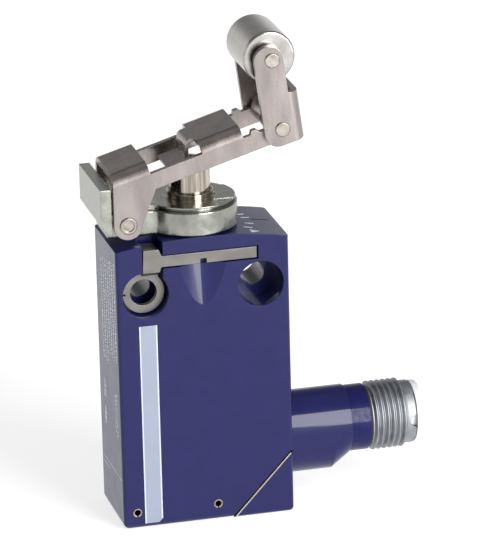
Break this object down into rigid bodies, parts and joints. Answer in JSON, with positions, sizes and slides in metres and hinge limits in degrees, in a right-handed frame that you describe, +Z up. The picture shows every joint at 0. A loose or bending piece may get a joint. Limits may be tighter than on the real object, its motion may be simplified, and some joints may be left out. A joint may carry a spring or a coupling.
{
  "type": "limit switch",
  "caption": "Compact metal limit switch with a one-way roller lever on a turning head, counterbored mounting holes through the body and a threaded cable connector low on one side",
  "frame": {"origin": "on the flat mounting face behind the body, midway between the two mounting holes", "axes": "+X towards the connector, +Y out of the mounting face (the front looks to -Y), +Z up towards the roller"},
  "size_m": [0.0568, 0.0161, 0.0853],
  "materials": {
    "body_paint": "satin violet-blue paint on a die-cast body",
    "zinc_plate": "satin bright zinc plating over die-cast metal",
    "steel_sheet": "satin stainless sheet, lightly brushed",
    "steel_pin": "turned steel, satin",
    "steel_roller": "fine-turned steel, semi-bright",
    "polished_steel": "ground and polished steel",
    "spring_steel": "drawn spring wire",
    "clip_steel": "satin spring-steel strip",
    "black_rubber": "matt black nitrile rubber",
    "label": "light blue-grey printed film, no text",
    "plug_paint": "satin violet-blue paint",
    "connector_metal": "matt nickel plating",
    "white_insert": "translucent white moulded plastic",
    "brass_contact": "gold-flashed brass",
    "silver_contact": "brass strip with silver buttons",
    "black_moulding": "black glass-filled moulding",
    "clear_cover": "natural moulded plastic",
    "hollow_pin": "yellow-passivated steel roll pin",
    "pale_gasket": "pale flat gasket",
    "screw_steel": "zinc-plated socket screw"
  },
  "bodies": {
    "switch_body": {"housing": "body_paint", "bottom_plug": "plug_paint", "roll_pins": "hollow_pin", "corner_block": "body_paint", "corner_gasket": "pale_gasket", "corner_screws": "screw_steel", "connector_barrel": "body_paint", "connector_shell": "connector_metal", "connector_insert": "white_insert", "contact_pins": "brass_contact", "connector_o_ring": "black_rubber", "label_strip": "label", "contact_case": "black_moulding", "contact_cover": "clear_cover", "closed_contacts": "silver_contact", "open_contacts": "silver_contact", "head_seal": "black_rubber"},
    "clip": {"retaining_clip": "clip_steel"},
    "head": {"head_base": "zinc_plate", "guide_bush": "polished_steel", "plunger_wiper": "black_rubber", "plunger_spring": "spring_steel"},
    "plunger_body": {"plunger": "polished_steel", "plunger_circlip": "spring_steel"},
    "carrier": {"push_rod": "black_moulding", "bridge_spring": "spring_steel"},
    "bridge": {"contact_bridge": "silver_contact"},
    "lever_body": {"lever": "steel_sheet", "lever_pin": "steel_pin", "yoke_bush": "steel_pin", "yoke_spring": "spring_steel"},
    "yoke_body": {"yoke": "steel_sheet", "yoke_pin": "steel_pin", "roller_pin": "steel_pin", "roller_washers": "steel_pin"},
    "roller_body": {"roller": "steel_roller"}
  },
  "joints": [
    {"name": "head_turn", "type": "hinge", "parent": "switch_body", "child": "head", "pos_m": [0, -0.008, 0.012], "axis": [0, 0, 1], "range_deg": [-180, 180]},
    {"name": "clip_release", "type": "slide", "parent": "switch_body", "child": "clip", "axis": [0, -1, 0], "range_m": [0, 0.0045]},
    {"name": "lever_press", "type": "hinge", "parent": "head", "child": "lever_body", "pos_m": [-0.01225, -0.008, 0.0121], "axis": [0, 1, 0], "range_deg": [0, 13], "stiffness_Nm_per_rad": 0.5, "springref_deg": -14.32},
    {"name": "plunger_travel", "type": "slide", "parent": "head", "child": "plunger_body", "axis": [0, 0, -1], "range_m": [0, 0.003], "deforming": ["plunger_spring"]},
    {"name": "rod_travel", "type": "slide", "parent": "switch_body", "child": "carrier", "axis": [0, 0, -1], "range_m": [0, 0.003], "deforming": ["bridge_spring"]},
    {"name": "bridge_travel", "type": "slide", "parent": "switch_body", "child": "bridge", "axis": [0, 0, -1], "range_m": [0, 0.0013]},
    {"name": "yoke_fold", "type": "hinge", "parent": "lever_body", "child": "yoke_body", "pos_m": [0.01446, -0.008, 0.02669], "axis": [0, 1, 0], "range_deg": [0, 85], "stiffness_Nm_per_rad": 0.01, "springref_deg": -85.94},
    {"name": "roller_spin", "type": "hinge", "parent": "yoke_body", "child": "roller_body", "pos_m": [0.01291, -0.008, 0.03884], "axis": [0, 1, 0], "continuous": true}
  ],
  "couplings": [
    {"joint": "plunger_travel", "follows": "lever_press", "m_per_rad": 0.012},
    {"joint": "rod_travel", "follows": "lever_press", "m_per_rad": 0.012},
    {"joint": "bridge_travel", "follows": "lever_press", "m_per_rad": 0.0055}
  ]
}
